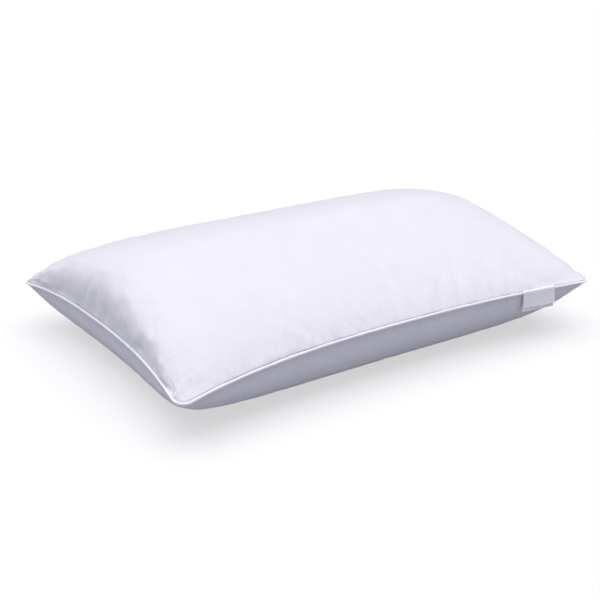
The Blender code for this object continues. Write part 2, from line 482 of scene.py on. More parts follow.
@dataclass(frozen=True)
class WovenCloth:
    """Plain woven cotton: fine over-and-under yarns, soft sheen and slight clouding."""

    name: str
    colour: tuple[float, float, float]
    shade: tuple[float, float, float]
    yarn_pitch: float = 0.00026
    weave_depth: float = 0.00003
    slub_depth: float = 0.00002
    cloud_size: float = 0.05
    roughness: float = 0.62
    sheen: float = 0.35
    sheen_roughness: float = 0.45
    shine: float = 0.25
    bias: float = 0.0
    crumple_size: float = 0.018
    crumple_depth: float = 0.0
    gather_span: tuple[float, float] = (0.0, 0.0)
    gather_size: float = 0.009
    gather_reach: float = 0.040
    gather_depth: float = 0.0030

    def material(self) -> bpy.types.Material:
        """The node material."""
        nodes = Nodes(self.name)
        place = nodes.add("ShaderNodeTexCoord").outputs["UV"]
        turned = nodes.add("ShaderNodeMapping")
        turned.inputs["Rotation"].default_value = (0, 0, self.bias)
        nodes.link(place, turned.inputs["Vector"])
        height = self._weave(nodes, turned.outputs[0])
        self._colour(nodes, turned.outputs[0])
        nodes.relief(height)
        nodes.feel(self.roughness, self.sheen)
        nodes.shader.inputs["Sheen Roughness"].default_value = self.sheen_roughness
        nodes.shader.inputs["Specular IOR Level"].default_value = self.shine
        return nodes.material

    def _weave(self, nodes: Nodes, place: bpy.types.NodeSocket) -> bpy.types.NodeSocket:
        """Height of crossing yarns, thick and thin places and soft crumples."""
        split = nodes.add("ShaderNodeSeparateXYZ")
        nodes.link(place, split.inputs[0])
        turn = math.pi / self.yarn_pitch
        warp = nodes.math("SINE", nodes.math("MULTIPLY", split.outputs[0], turn))
        weft = nodes.math("SINE", nodes.math("MULTIPLY", split.outputs[1], turn))
        cross = nodes.math("MULTIPLY", nodes.math("MULTIPLY", warp, weft), self.weave_depth)
        slubs = [
            nodes.math("MULTIPLY", self._streaks(nodes, place, stretch), self.slub_depth)
            for stretch in ((2600.0, 90.0, 1.0), (90.0, 2600.0, 1.0))
        ]
        height = nodes.math("ADD", cross, nodes.math("ADD", slubs[0], slubs[1]))
        if self.crumple_depth:
            crumple = nodes.add(
                "ShaderNodeTexNoise", Scale=1 / self.crumple_size, Detail=3.0, Roughness=0.45
            )
            nodes.link(place, crumple.inputs["Vector"])
            soft = nodes.math("MULTIPLY", crumple.outputs["Fac"], self.crumple_depth)
            height = nodes.math("ADD", height, soft)
        for axis in (0, 1):
            if self.gather_span[axis]:
                height = nodes.math("ADD", height, self._gathers(nodes, place, split, axis))
        return height

    def _gathers(
        self, nodes: Nodes, place: bpy.types.NodeSocket, split: bpy.types.Node, axis: int
    ) -> bpy.types.NodeSocket:
        """Height of the fine folds that run into the two seams across one direction."""
        reach = nodes.math("ABSOLUTE", split.outputs[axis])
        depth = nodes.math("MAXIMUM", nodes.math("SUBTRACT", self.gather_span[axis], reach), 0.0)
        near = nodes.math("EXPONENT", nodes.math("DIVIDE", depth, -self.gather_reach))
        fine, drawn_out = 1 / self.gather_size, 1 / (self.gather_size * 7)
        stretch = (drawn_out, fine, 1.0) if axis == 0 else (fine, drawn_out, 1.0)
        folds = nodes.math("MULTIPLY", near, self._streaks(nodes, place, stretch))
        return nodes.math("MULTIPLY", folds, self.gather_depth)

    def _streaks(
        self, nodes: Nodes, place: bpy.types.NodeSocket, stretch: tuple[float, float, float]
    ) -> bpy.types.NodeSocket:
        """Noise drawn out along one set of yarns."""
        drawn = nodes.add("ShaderNodeMapping")
        drawn.inputs["Scale"].default_value = stretch
        nodes.link(place, drawn.inputs["Vector"])
        noise = nodes.add("ShaderNodeTexNoise", Scale=1.0, Detail=2.0, Roughness=0.6)
        nodes.link(drawn.outputs[0], noise.inputs["Vector"])
        return noise.outputs["Fac"]

    def _colour(self, nodes: Nodes, place: bpy.types.NodeSocket) -> None:
        """Slight clouding of the colour with yarn streaks in it."""
        cloud = nodes.add(
            "ShaderNodeTexNoise", Scale=1 / self.cloud_size, Detail=2.0, Roughness=0.5
        )
        nodes.link(place, cloud.inputs["Vector"])
        streak = self._streaks(nodes, place, (700.0, 40.0, 1.0))
        mixed = nodes.math("ADD", nodes.math("MULTIPLY", cloud.outputs["Fac"], 0.7),
                           nodes.math("MULTIPLY", streak, 0.3))
        nodes.tint(mixed, self.shade, self.colour, 0.3, 0.7)


@dataclass(frozen=True)
class PlainFibre:
    """Matt fibres on a hidden part, with fine mottling on Object coordinates."""

    name: str
    colour: tuple[float, float, float]
    shade: tuple[float, float, float]
    grain: float
    depth: float
    roughness: float = 0.9
    sheen: float = 0.4

    def material(self) -> bpy.types.Material:
        """The node material."""
        nodes = Nodes(self.name)
        place = nodes.add("ShaderNodeTexCoord").outputs["Object"]
        noise = nodes.add("ShaderNodeTexNoise", Scale=1 / self.grain, Detail=4.0, Roughness=0.6)
        nodes.link(place, noise.inputs["Vector"])
        nodes.tint(noise.outputs["Fac"], self.shade, self.colour, 0.35, 0.65)
        nodes.relief(nodes.math("MULTIPLY", noise.outputs["Fac"], self.depth))
        nodes.feel(self.roughness, self.sheen)
        return nodes.material


@dataclass(frozen=True)
class LabelCloth:
    """Coated tape with fine ribs and faint rows of pale print that can't be read."""

    name: str
    colour: tuple[float, float, float]
    ink: tuple[float, float, float]
    half_width: float
    length: float
    margin: float = 0.004
    line_pitch: float = 0.0026
    line_share: float = 0.45
    letters_per_metre: float = 900.0
    ink_strength: float = 0.55
    rib_pitch: float = 0.0004
    rib_depth: float = 0.00001
    roughness: float = 0.5
    sheen: float = 0.15

    def material(self) -> bpy.types.Material:
        """The node material."""
        nodes = Nodes(self.name)
        split = nodes.add("ShaderNodeSeparateXYZ")
        place = nodes.add("ShaderNodeTexCoord").outputs["UV"]
        nodes.link(place, split.inputs[0])
        across, down = split.outputs[0], split.outputs[1]
        printed = self._print(nodes, place, across, down)
        blend = nodes.add("ShaderNodeMixRGB")
        blend.inputs["Color1"].default_value = (*self.colour, 1)
        blend.inputs["Color2"].default_value = (*self.ink, 1)
        nodes.link(printed, blend.inputs["Fac"])
        nodes.link(blend.outputs[0], nodes.shader.inputs["Base Color"])
        ribs = nodes.math("SINE", nodes.math("MULTIPLY", down, FULL_TURN / self.rib_pitch))
        nodes.relief(nodes.math("MULTIPLY", ribs, self.rib_depth))
        nodes.feel(self.roughness, self.sheen)
        return nodes.material

    def _print(
        self,
        nodes: Nodes,
        place: bpy.types.NodeSocket,
        across: bpy.types.NodeSocket,
        down: bpy.types.NodeSocket,
    ) -> bpy.types.NodeSocket:
        """Share of ink: broken rows inside the margins."""
        phase = nodes.math("FRACT", nodes.math("DIVIDE", down, self.line_pitch))
        row = nodes.math("LESS_THAN", phase, self.line_share)
        words = nodes.add("ShaderNodeMapping")
        scale = (self.letters_per_metre, 1 / self.line_pitch, 1.0)
        words.inputs["Scale"].default_value = scale
        nodes.link(place, words.inputs["Vector"])
        noise = nodes.add("ShaderNodeTexNoise", Scale=1.0, Detail=1.0)
        nodes.link(words.outputs[0], noise.inputs["Vector"])
        dash = nodes.math("GREATER_THAN", noise.outputs["Fac"], 0.5)
        side = nodes.math(
            "LESS_THAN", nodes.math("ABSOLUTE", across), self.half_width - self.margin
        )
        low = nodes.math("LESS_THAN", down, self.length - self.margin)
        high = nodes.math("GREATER_THAN", down, self.margin * 2)
        ink = nodes.math("MULTIPLY", nodes.math("MULTIPLY", row, dash), side)
        ink = nodes.math("MULTIPLY", nodes.math("MULTIPLY", ink, low), high)
        return nodes.math("MULTIPLY", ink, self.ink_strength)


WHITE_PERCALE = WovenCloth(
    name="white percale",
    colour=(0.770, 0.765, 0.796),
    shade=(0.742, 0.737, 0.770),
    crumple_depth=0.0006,
)
BIAS_PIPING = WovenCloth(
    name="bias cut piping cloth",
    colour=(0.95, 0.95, 0.965),
    shade=(0.91, 0.91, 0.93),
    bias=math.pi / 4,
)
CONTENT_TAPE = LabelCloth("content label tape", (0.95, 0.95, 0.965), (0.66, 0.66, 0.69),
                          half_width=0.028, length=0.034)
CARE_TAPE = LabelCloth("care label tape", (0.95, 0.95, 0.965), (0.66, 0.66, 0.69),
                       half_width=0.028, length=0.029)
SEWING_THREAD = PlainFibre("white sewing thread", (0.93, 0.93, 0.95), (0.84, 0.84, 0.88),
                           grain=0.0004, depth=0.00004)
HIDDEN_THREAD = PlainFibre("seam thread", (0.90, 0.90, 0.93), (0.80, 0.80, 0.84),
                           grain=0.0005, depth=0.00004)
COTTON_CORD = PlainFibre("cotton cord", (0.86, 0.85, 0.80), (0.76, 0.75, 0.70),
                         grain=0.0008, depth=0.0001)
DOWN = PlainFibre("down filling", (0.93, 0.92, 0.89), (0.84, 0.83, 0.80),
                  grain=0.004, depth=0.0006)


# ---------------------------------------------------------------------------------------------
# Cover panels
# ---------------------------------------------------------------------------------------------


@dataclass(frozen=True)
class Fullness:
    """How a panel fills out from the seam: high powers keep the middle flat to the edge.

    A panel stands at its full height from the middle out to the rest share of its size.  Lean
    makes it fuller towards the back, and front left makes it fuller in that corner.  A low
    corner power thins all four corners over a longer stretch.
    """

    end_power: float
    end_rounding: float
    side_power: float
    side_rounding: float
    rest: float = 0.0
    lean: float = 0.0
    corner_power: float = 12.0
    front_left: float = 0.0

    def at(self, s: np.ndarray, t: np.ndarray) -> np.ndarray:
        """Share of the full height at shares of the half length and half width."""
        ring = np.maximum(np.abs(s), np.abs(t))
        share = np.clip((ring - self.rest) / (1 - self.rest), 0, 1) / np.maximum(ring, 1e-6)
        end = np.clip(1 - np.abs(s * share) ** self.end_power, 0, 1) ** self.end_rounding
        side = np.clip(1 - np.abs(t * share) ** self.side_power, 0, 1) ** self.side_rounding
        near = ((1 - s) * (1 - t) / 4) ** 2
        corner = 1 - np.abs(s * t) ** self.corner_power
        return (end * side) ** (1 - self.front_left * near) * corner * (1 + self.lean * t)


@dataclass
class PanelCloth:
    """One panel of the cover: crowned by the filling, and puckered where it meets the seam.

    The panel starts as the plain crown of the CAD part.  It is then let out near the seam, as
    gathered cloth is, while its edge stays sewn and the filling pushes, so that it puckers.
    The puckers are kept near the seam, and fine gathers square to the seam are added to them.
    """

    side: Side
    seam: SeamLine
    stack: SeamStack
    fullness: Fullness
    peak: float
    ease: float = 0.030
    puckers: float = 0.75
    pucker_reach: float = 0.45
    hold_width: float = 0.013
    ease_reach: float = 0.20
    gather_depth: float = 0.0028
    gather_size: float = 0.012
    gather_draw: float = 6.0
    gather_start: float = 0.012
    gather_reach: float = 0.040
    pressure: float = 5.0
    sewing_share: float = 0.5
    cell: float = 0.0065
    mass: float = 0.35
    tension: float = 40.0
    bending: float = 0.02

    def build(self) -> bpy.types.Object:
        """Builds the sewn panel, its cells of even size along the curved cloth."""
        line_s, self.cut_length = self._even_shares(0)
        line_t, self.cut_width = self._even_shares(1)
        s, t = np.meshgrid(line_s, line_t, indexing="ij")
        self.shape = s.shape
        self.s, self.t = s.ravel(), t.ravel()
        self.u, self.v = self.seam.rounded(self.s, self.t)
        self.rim = self._rim()
        sewn = self.crowned(self.s, self.t)
        self.rim_loop = self.seam.stations(self.u[self.rim], self.v[self.rim])
        sewn[self.rim] = self.seam.place(
            self.rim_loop, -self.stack.roll_set_back, self.side.value * self._lift
        )
        self.sewn = sewn
        let_out = sewn.copy()
        let_out[:, :2] *= 1 + self.ease * self._ease_shares()[:, None]
        across, down = np.meshgrid(
            np.linspace(-0.5, 0.5, self.shape[0]) * self.cut_length,
            np.linspace(-0.5, 0.5, self.shape[1]) * self.cut_width,
            indexing="ij",
        )
        self.flat = np.stack([across.ravel(), down.ravel()], axis=-1)
        name = f"{self.side.name.lower()}_cover"
        self.piece = mesh_object(name, let_out, self.faces(), self.flat)
        self.piece.shape_key_add(name="let out")
        key = self.piece.shape_key_add(name="sewn")
        key.data.foreach_set("co", sewn.astype(np.float32).ravel())
        return self.piece

    @property
    def _lift(self) -> float:
        """How far the crown starts above or below the seam line."""
        return self.stack.fold_height + self.stack.roll_height

    def crowned(self, s: np.ndarray, t: np.ndarray) -> np.ndarray:
        """The plain crown, from the seam's sheet up to the peak."""
        points = self.seam.point(*self.seam.rounded(s, t))
        edge = points[:, 2] + self.side.value * self._lift
        points[:, 2] = edge + (self.peak - edge) * self.fullness.at(s, t)
        return points

    def _even_shares(self, axis: int) -> tuple[np.ndarray, float]:
        """Shares that are evenly spaced along the curved middle line.

        Args:
            axis: 0 for the line along X, 1 for the line along Y.

        Returns:
            The shares from -1 to 1, and the line's length.
        """
        turn = np.linspace(-math.pi / 2, math.pi / 2, CURVE_SAMPLES)
        fine = np.sin(turn)
        zero = np.zeros_like(fine)
        line = self.crowned(*((fine, zero) if axis == 0 else (zero, fine)))
        steps = np.linalg.norm(np.diff(line, axis=0), axis=1)
        along = np.concatenate([[0.0], np.cumsum(steps)])
        count = round(along[-1] / self.cell)
        return np.interp(np.linspace(0, along[-1], count + 1), along, fine), along[-1]

    def _rim(self) -> np.ndarray:
        """Vertex numbers round the edge, anticlockwise from the front left corner."""
        number = np.arange(self.shape[0] * self.shape[1]).reshape(self.shape)
        return np.concatenate(
            [number[:-1, 0], number[-1, :-1], number[:0:-1, -1], number[0, :0:-1]]
        )

    def faces(self) -> np.ndarray:
        """Quads that face outwards."""
        quads = grid_quads(*self.shape)
        return quads if self.side is Side.TOP else quads[:, ::-1]

    def prepare(self, frames: int) -> None:
        """Adds the cloth physics: edge sewn, let out near the seam, pushed by the filling."""
        key = self.piece.data.shape_keys.key_blocks["sewn"]
        for frame_number, value in ((1, 0.0), (round(frames * self.sewing_share), 1.0)):
            key.value = value
            key.keyframe_insert("value", frame=frame_number)
        pins = self.piece.vertex_groups.new(name="seam")
        pins.add(self.rim.tolist(), 1.0, "REPLACE")
        cloth = self.piece.modifiers.new("Cloth", "CLOTH")
        settings = cloth.settings
        settings.quality = 7
        settings.mass = self.mass / len(self.u)
        settings.air_damping = 2.0
        settings.tension_stiffness = self.tension
        settings.compression_stiffness = self.tension
        settings.shear_stiffness = self.tension / 4
        settings.bending_stiffness = self.bending
        settings.tension_damping = 8
        settings.compression_damping = 8
        settings.shear_damping = 8
        settings.bending_damping = 0.5
        settings.use_pressure = True
        settings.uniform_pressure_force = self.pressure
        settings.vertex_group_mass = pins.name
        settings.effector_weights.gravity = 0
        cloth.collision_settings.use_collision = self.side is Side.BOTTOM
        cloth.collision_settings.distance_min = 0.001
        cloth.point_cache.frame_start = 1
        cloth.point_cache.frame_end = frames

    def _gathers(self) -> np.ndarray:
        """Fine soft folds that run into the seam, square to each side."""
        total = np.zeros(len(self.s))
        spans = (self.cut_length, self.cut_width)
        for axis in (0, 1):
            along = self.flat[:, 1 - axis]
            for sign in (-1, 1):
                depth = spans[axis] / 2 - sign * self.flat[:, axis]
                near = np.clip(depth / self.gather_start, 0, 1) * np.exp(
                    -depth / self.gather_reach
                )
                places = np.stack([along, depth / self.gather_draw], axis=-1)
                seed = SEED + 10 + axis * 2 + sign + 20 * (self.side is Side.TOP)
                fine = smooth_noise(places, self.gather_size, seed)
                patches = 0.6 + 0.4 * smooth_noise(places, self.gather_size * 5, seed + 1)
                total += near * fine * patches
        return total * self.gather_depth

    def _outward(self) -> np.ndarray:
        """Outward directions of the plain crown."""
        grid = self.sewn.reshape(*self.shape, 3)
        normal = np.cross(np.gradient(grid, axis=0), np.gradient(grid, axis=1))
        normal /= np.linalg.norm(normal, axis=-1, keepdims=True)
        return self.side.value * normal.reshape(-1, 3)

    def _ease_shares(self) -> np.ndarray:
        """How much each point's cloth is let out: fully at the seam, uneven along it."""
        reach = 1 - np.maximum(np.abs(self.s), np.abs(self.t))
        near = np.exp(-reach / self.ease_reach)
        places = np.stack([self.u, self.v], axis=-1)
        uneven = 0.75 + 0.25 * smooth_noise(places, 0.45, SEED + 40 + self.side.value)
        return np.clip(near * uneven, 0, 1)

    def settle(self) -> np.ndarray:
        """Keeps the simulated shape as the mesh and drops the physics."""
        graph = bpy.context.evaluated_depsgraph_get()
        shown = self.piece.evaluated_get(graph)
        mesh = shown.to_mesh()
        points = np.empty(len(mesh.vertices) * 3, dtype=np.float32)
        mesh.vertices.foreach_get("co", points)
        shown.to_mesh_clear()
        self.piece.modifiers.clear()
        self.piece.shape_key_clear()
        self.piece.data.vertices.foreach_set("co", points)
        self.piece.data.update()
        self.points = self._held(points.reshape(-1, 3).astype(float))
        return self.points

    def _held(self, settled: np.ndarray) -> np.ndarray:
        """Keeps the puckers of the settled cloth but holds its broad shape to the crown."""
        moved = (settled - self.sewn).reshape(*self.shape, 3)
        broad = moved.copy()
        width = round(self.hold_width / self.cell / 2)
        for axis in (0, 1) * 3:
            padding = [(width, width) if i == axis else (0, 0) for i in range(3)]
            padded = np.pad(broad, padding, mode="edge")
            slices = [
                np.take(padded, np.arange(self.shape[axis]) + k, axis=axis)
                for k in range(2 * width + 1)
            ]
            broad = np.mean(slices, axis=0)
        reach = 1 - np.maximum(np.abs(self.s), np.abs(self.t))
        kept = self.puckers * np.exp(-((reach / self.pucker_reach) ** 2))
        held = self.sewn + kept[:, None] * (moved - broad).reshape(-1, 3)
        held += self._gathers()[:, None] * self._outward()
        held[self.rim] = self.sewn[self.rim]
        if self.side is Side.BOTTOM:
            held[:, 2] = np.maximum(held[:, 2], self.stack.cloth)
        return held


def inflate(panels: list[PanelCloth], frames: int) -> None:
    """Runs the filling of the cover on all panels at once, over a hard surface.

    Args:
        panels: The built panels.
        frames: How long to let them settle.
    """
    bpy.ops.mesh.primitive_plane_add(size=2)
    surface = bpy.context.object
    surface.modifiers.new("surface", "COLLISION")
    surface.collision.thickness_outer = 0.0005
    for panel in panels:
        panel.prepare(frames)
    scene = bpy.context.scene
    scene.frame_start = 1
    scene.frame_end = frames
    for step in range(1, frames + 1):
        scene.frame_set(step)
    for panel in panels:
        panel.settle()
    bpy.data.objects.remove(surface)


@dataclass
class Panel:
    """One finished panel of the cover: crown, roll at the seam and turned-in allowance."""

    cloth: PanelCloth
    finish: WovenCloth
    name: str
    node: str

    def build(self) -> bpy.types.Object:
        """Builds the final sewn panel from the settled cloth."""
        grid = self.cloth.points
        rim = self.cloth.rim
        points = [grid]
        faces = [self.cloth.faces()]
        uvs = [self.cloth.flat]
        before = rim
        total = len(grid)
        for n, b in self._profile():
            row = self.cloth.seam.place(self.cloth.rim_loop, n, b)
            spots = np.arange(len(rim)) + total
            quads = np.stack([before, np.roll(before, -1), np.roll(spots, -1), spots], axis=-1)
            faces.append(quads[:, ::-1] if self.cloth.side is Side.TOP else quads)
            out = row - grid[rim]
            reach = np.linalg.norm(out, axis=1)[:, None]
            uvs.append(self.cloth.flat[rim] + self.cloth.rim_loop.normals[:, :2] * reach)
            points.append(row)
            before = spots
            total += len(rim)
        piece = mesh_object(
            self.name, np.concatenate(points), np.concatenate(faces), np.concatenate(uvs)
        )
        subdivide(piece, 1)
        thicken(piece, self.cloth.stack.cloth)
        self.piece = piece
        return piece

    def _profile(self) -> list[tuple[float, float]]:
        """Rim rows (n, b): down the roll, round the fold and inside along the allowance."""
        stack = self.cloth.stack
        up = self.cloth.side.value
        set_back = stack.roll_set_back
        fold = stack.fold_height
        return [
            (-set_back * 0.4, up * (fold + stack.roll_height * 0.55)),
            (0.0, up * (fold + stack.roll_height * 0.15)),
            (-stack.cloth, up * fold),
            (-stack.allowance / 2, up * fold),
            (-stack.allowance, up * fold),
        ]

    def dress(self) -> None:
        """Gives the panel its cloth and its place in the frame."""
        span = (self.cloth.cut_length / 2, self.cloth.cut_width / 2)
        self.piece.data.materials.append(replace(self.finish, gather_span=span).material())
        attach(self.piece, PILLOW_BODY)
        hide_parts(self.node)


TOP_FULLNESS = Fullness(4.2, 0.25, 1.45, 0.79, lean=0.15)
UNDER_FULLNESS = Fullness(
    2.86, 0.335, 2.86, 0.335, rest=0.37, corner_power=9.0, front_left=0.25
)


# ---------------------------------------------------------------------------------------------
# Piping
# ---------------------------------------------------------------------------------------------


@dataclass
class Piping:
    """Bias-cut strip folded over a cotton cord and sewn into the seam."""

    seam: SeamLine
    stack: SeamStack
    finish: WovenCloth = BIAS_PIPING
    stations: int = 640
    round_steps: int = 12
    waver: float = 0.00018

    def build(self) -> bpy.types.Object:
        """Builds the piping's cover all round the pillow."""
        loop = self.seam.loop(self.stations)
        swing = smooth_noise(loop.points[:, :2], 0.05, SEED) * self.waver
        pinch = smooth_noise(loop.points[:, :2], 0.012, SEED + 1) * self.waver * 0.5
        rows = []
        girth = [0.0]
        section = self._section()
        for n, b in section:
            scale = 1 + pinch / self.stack.piping_radius
            at_n = self.stack.piping_out + (n - self.stack.piping_out) * scale
            rows.append(self.seam.place(loop, at_n if n > 0 else n, b * scale + swing * (n > 0)))
        for here, there in zip(section[:-1], section[1:]):
            girth.append(girth[-1] + math.dist(here, there))
        self.piece = swept("piping_strip", np.array(rows), loop.along, np.array(girth), True)
        return self.piece

    def _section(self) -> list[tuple[float, float]]:
        """The strip in cross-section: round the cord's bore and along both allowances."""
        stack = self.stack
        inner = self._arc(stack.piping_bore, GAP / 2)
        outer = self._arc(stack.piping_radius, GAP / 2 + stack.cloth)
        ends = [(-stack.allowance, -GAP / 2), (-stack.allowance, -GAP / 2 - stack.cloth)]
        tops = [(-stack.allowance, GAP / 2 + stack.cloth), (-stack.allowance, GAP / 2)]
        return inner + ends + outer[::-1] + tops

    def _arc(self, radius: float, mouth: float) -> list[tuple[float, float]]:
        """Points over the top of the cord, outside and under it, from the mouth to the mouth."""
        open_turn = math.pi - math.asin(mouth / radius)
        turns = np.linspace(open_turn, -open_turn, 2 * self.round_steps)
        out = self.stack.piping_out
        return [(out + radius * math.cos(turn), radius * math.sin(turn)) for turn in turns]

    def dress(self) -> None:
        """Gives the piping its cloth and its place in the frame."""
        self.piece.data.materials.append(self.finish.material())
        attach(self.piece, PILLOW_BODY)
        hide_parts("piping_cover")


# ---------------------------------------------------------------------------------------------
# Filling
# ---------------------------------------------------------------------------------------------


@dataclass
class Filling:
    """Down and feather filling: a soft lumpy body just inside the cover."""

    top: PanelCloth
    bottom: PanelCloth
    columns: int = 110
    rows: int = 80
    shrink: float = 0.94
    clearance: float = 0.005
    lump_size: float = 0.07
    lump_depth: float = 0.0022

    def build(self) -> bpy.types.Object:
        """Builds the filling from the plain crowns of both panels."""
        line_s = np.sin(np.linspace(-math.pi / 2, math.pi / 2, self.columns + 1))
        line_t = np.sin(np.linspace(-math.pi / 2, math.pi / 2, self.rows + 1))
        s, t = (grid.ravel() for grid in np.meshgrid(line_s, line_t, indexing="ij"))
        upper, lower = self._layer(self.top, s, t), self._layer(self.bottom, s, t)
        quads = grid_quads(self.columns + 1, self.rows + 1)
        rim = np.maximum(np.abs(s), np.abs(t)) > 1 - 1e-9
        under = np.where(rim, np.arange(len(s)), len(s) + np.cumsum(~rim) - 1)
        upper[rim] = (upper[rim] + lower[rim]) / 2
        points = np.concatenate([upper, lower[~rim]])
        faces = np.concatenate([quads, under[quads][:, ::-1]])
        self.piece = mesh_object("filling_down", points, faces)
        face_outwards(self.piece)
        return self.piece

    def _layer(self, panel: PanelCloth, s: np.ndarray, t: np.ndarray) -> np.ndarray:
        """One panel's plain crown, drawn in from the seam and pushed inwards, with lumps."""
        shape = panel.crowned(s, t) * (self.shrink, self.shrink, 1)
        lumps = np.abs(smooth_noise(shape, self.lump_size, SEED + 2)) * self.lump_depth
        shape[:, 2] -= panel.side.value * (self.clearance + lumps)
        return shape

    def dress(self) -> None:
        """Gives the filling its look and its place in the frame."""
        self.piece.data.materials.append(DOWN.material())
        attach(self.piece, PILLOW_BODY)
        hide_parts("filling")


# ---------------------------------------------------------------------------------------------
# Labels
# ---------------------------------------------------------------------------------------------


@dataclass
class LabelPlace:
    """Where the labels fold over the piping: its middle line there and its frame."""

    seam: SeamLine
    stack: SeamStack
    width: float = 0.056
    from_corner: float = 0.097

    def __post_init__(self) -> None:
        """Works out the frame on the front side, square to the piping."""
        half_length = self.seam.length / 2
        u = 1 - self.from_corner / half_length
        half = self.width / 2 / half_length
        start, end = self.seam.point(np.array([u - half, u + half]), np.array([-1.0, -1.0]))
        self.along = (end - start) / np.linalg.norm(end - start)
        self.outward = np.array([self.along[1], -self.along[0], 0])
        self.outward /= np.linalg.norm(self.outward)
        self.up = np.cross(self.outward, self.along)
        self.centre = (start + end) / 2 + self.outward * self.stack.piping_out

    def place(self, along: np.ndarray, out: np.ndarray, height: np.ndarray) -> np.ndarray:
        """Points at distances along the seam, out from the piping's middle and above it."""
        return (
            self.centre
            + np.multiply.outer(along, self.along)
            + np.multiply.outer(out, self.outward)
            + np.multiply.outer(height, self.up)
        )


@dataclass
class LabelLeaf:
    """One leaf of label cloth that comes out of the seam, over the piping, and hangs."""

    name: str
    node: str
    place: LabelPlace
    finish: LabelCloth
    radius: float
    drop: float
    tail_turn: float
    shift: float = 0.0
    curl: float = 0.0008
    thickness: float = 0.00025
    columns: int = 56
    rows: int = 44

    def build(self) -> bpy.types.Object:
        """Builds the leaf as a thin closed sheet."""
        length = self.radius * self.tail_turn + self.drop
        across = np.linspace(-0.5, 0.5, self.columns + 1) * self.place.width
        down = np.linspace(0, length, self.rows + 1)
        x, d = np.meshgrid(across, down, indexing="ij")
        turn = self.tail_turn - np.minimum(d / self.radius, self.tail_turn)
        hang = np.maximum(d - self.radius * self.tail_turn, 0)
        lift = self._wave(x, hang)
        out = (self.radius) * np.cos(turn) + lift
        height = self.radius * np.sin(turn) - hang
        points = self.place.place((x + self.shift * hang / self.drop).ravel(), out.ravel(),
                                  height.ravel())
        uvs = np.stack([x.ravel(), d.ravel()], axis=-1)
        faces = band_faces(self.columns + 1, self.rows + 1, False, False)
        self.piece = mesh_object(self.name, points, faces, uvs)
        self.flat = (self.place.width, length)
        thicken(self.piece, self.thickness)
        face_outwards(self.piece)
        return self.piece

    def _wave(self, x: np.ndarray, hang: np.ndarray) -> np.ndarray:
        """How far the hanging leaf stands off, soft and uneven across its width."""
        share = hang / self.drop
        ripple = np.sin(x / self.place.width * math.pi * 1.6 + 0.8) * 0.5
        return share**1.5 * self.curl * (1 + ripple)

    def dress(self) -> None:
        """Gives the leaf its cloth and bakes its placing into its mesh."""
        self.piece.data.materials.append(self.finish.material())
        start = self.place.place(0.0, -self.radius * 0.6, self.radius)
        end = self.place.place(0.0, self.radius * 0.3, self.radius)
        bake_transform(self.piece)
        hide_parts(self.node)


# ---------------------------------------------------------------------------------------------
# Stitches
# ---------------------------------------------------------------------------------------------


def model_stitch(length: float, radius: float) -> bpy.types.Object:
    """Models one stitch: a thread that lies on the cloth and dips into it at both ends.

    Args:
        length: Length along X.
        radius: Radius of the thread.

    Returns:
        The stitch, at the origin.
    """
    bpy.ops.object.select_all(action="DESELECT")
    bpy.ops.mesh.primitive_cylinder_add(
        vertices=6, radius=radius, depth=length * 0.6, rotation=(0, math.pi / 2, 0)
    )
    stitch = bpy.context.object
    bpy.ops.object.transform_apply(location=True, rotation=True, scale=True)
    for sign in (-1, 1):
        bpy.ops.object.mode_set(mode="EDIT")
        bpy.ops.mesh.select_mode(type="FACE")
        bpy.ops.mesh.select_all(action="DESELECT")
        shape = bmesh.from_edit_mesh(stitch.data)
        for face in shape.faces:
            face.select_set(face.normal.x * sign > 0.9)
        bmesh.update_edit_mesh(stitch.data)
        bpy.ops.mesh.extrude_region_move(
            TRANSFORM_OT_translate={"value": (sign * length * 0.15, 0, -radius * 0.6)}
        )
        bpy.ops.mesh.extrude_region_move(
            TRANSFORM_OT_translate={"value": (sign * length * 0.05, 0, -radius * 1.4)}
        )
        bpy.ops.transform.resize(value=(0.6, 0.6, 0.6))
        bpy.ops.object.mode_set(mode="OBJECT")
    bpy.ops.object.shade_smooth()
    return stitch


def row_of_stitches(name: str, stitch: bpy.types.Object, frames: list) -> bpy.types.Object:
    """Copies one stitch to every place and joins the copies.

    Args:
        name: Name of the joined piece.
        stitch: The modelled stitch, which is used up.
        frames: A matrix for each copy.

    Returns:
        The row of stitches.
    """
    copies = []
    for turned in frames:
        copy = stitch.copy()
        copy.data = stitch.data.copy()
        copy.data.transform(turned)
        bpy.context.scene.collection.objects.link(copy)
        copies.append(copy)
    bpy.data.objects.remove(stitch)
    bpy.ops.object.select_all(action="DESELECT")
    for copy in copies:
        copy.select_set(True)
    bpy.context.view_layer.objects.active = copies[0]
    bpy.ops.object.join()
    joined = bpy.context.object
    joined.name = name
    return joined


def frame_matrix(centre: np.ndarray, along: np.ndarray, up: np.ndarray) -> Matrix:
    """Matrix that sets a stitch down with its length and its top side given."""
    x = Vector(along).normalized()
    y = Vector(up).cross(x).normalized()
    z = x.cross(y)
    turned = Matrix((x, y, z)).transposed().to_4x4()
    turned.translation = Vector(centre)
    return turned


